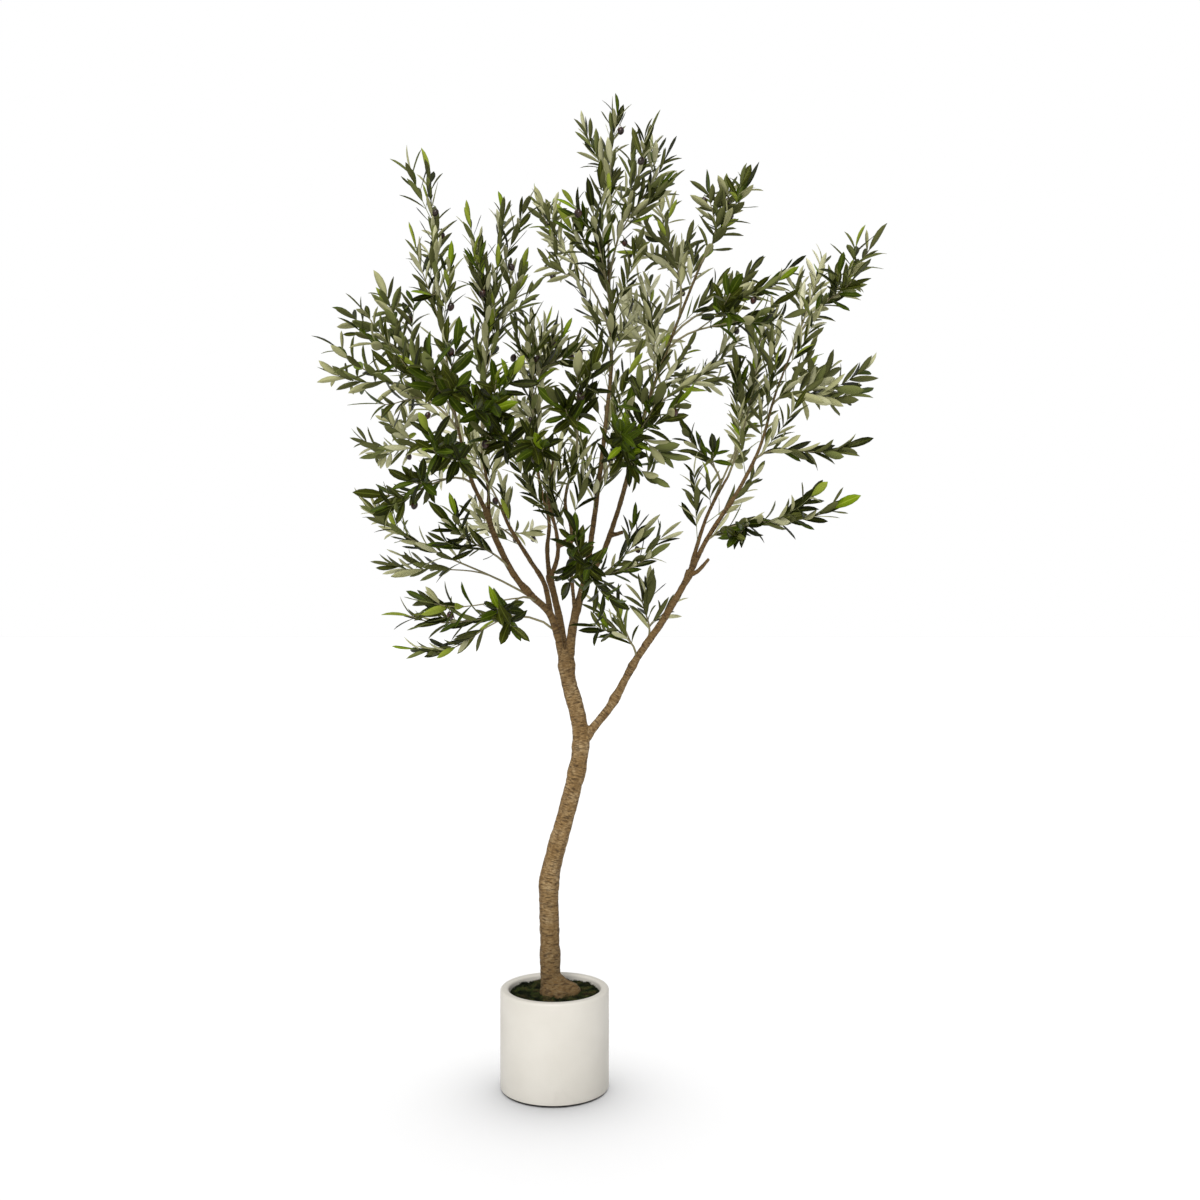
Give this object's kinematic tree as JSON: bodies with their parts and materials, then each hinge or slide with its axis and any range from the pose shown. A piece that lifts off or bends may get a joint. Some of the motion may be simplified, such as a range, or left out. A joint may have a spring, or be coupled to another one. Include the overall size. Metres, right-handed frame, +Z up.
{
  "type": "potted artificial olive tree",
  "caption": "Artificial olive tree with one curved trunk, forking boughs and open sprays of narrow leaves, in a plain round off-white planter topped with moss.",
  "frame": {"origin": "Middle of the planter's flat underside, on the surface that the tree stands on.", "axes": "+Z is up, along the height; +X is to the right as seen from the front, towards the single low bough; -Y is the front."},
  "size_m": [1.2269, 0.8831, 2.1339],
  "materials": {
    "planter": "matte off-white",
    "moss": "dark green moss over a cast filling",
    "bark": "rough tan bark with dark flecks",
    "foliage": "soft olive green, paler underneath"
  },
  "bodies": {
    "root": {"pot": "planter", "moss_filling": "moss", "trunk": "bark", "right_bough": "bark", "left_bough": "bark", "centre_bough": "bark", "middle_bough": "bark", "right_outer_limb": "bark", "right_inner_limb": "bark", "right_spur": "bark", "left_outer_limb": "bark", "left_inner_limb": "bark", "left_back_bough": "bark", "middle_left_limb": "bark", "middle_right_limb": "bark", "top_limb": "bark", "centre_right_limb": "bark", "front_limb": "bark", "back_centre_spray": "foliage", "back_left_spray": "foliage", "back_low_spray": "foliage", "back_right_spray": "foliage", "back_upper_right_spray": "foliage", "centre_left_spray": "foliage", "centre_right_spray": "foliage", "crown_back_left_spray": "foliage", "crown_back_spray": "foliage", "crown_front_spray": "foliage", "crown_right_spray": "foliage", "crown_top_spray": "foliage", "far_left_spray": "foliage", "far_right_spray": "foliage", "front_centre_spray": "foliage", "front_left_spray": "foliage", "front_low_spray": "foliage", "front_sill_spray": "foliage", "front_upper_left_spray": "foliage", "inner_right_spray": "foliage", "left_inside_spray": "foliage", "left_low_spray": "foliage", "left_middle_spray": "foliage", "left_shoulder_spray": "foliage", "left_spur_spray": "foliage", "low_front_spray": "foliage", "low_inner_left_spray": "foliage", "low_inner_right_spray": "foliage", "low_right_spray": "foliage", "lowest_left_spray": "foliage", "lowest_right_spray": "foliage", "pale_left_spray": "foliage", "right_arm_spray": "foliage", "right_crown_spray": "foliage", "right_inner_tall_spray": "foliage", "right_middle_spray": "foliage", "right_top_spray": "foliage", "tall_left_spray": "foliage", "thin_right_spray": "foliage", "upper_left_spray": "foliage", "upper_right_front_spray": "foliage", "upper_right_spray": "foliage"}
  },
  "joints": []
}
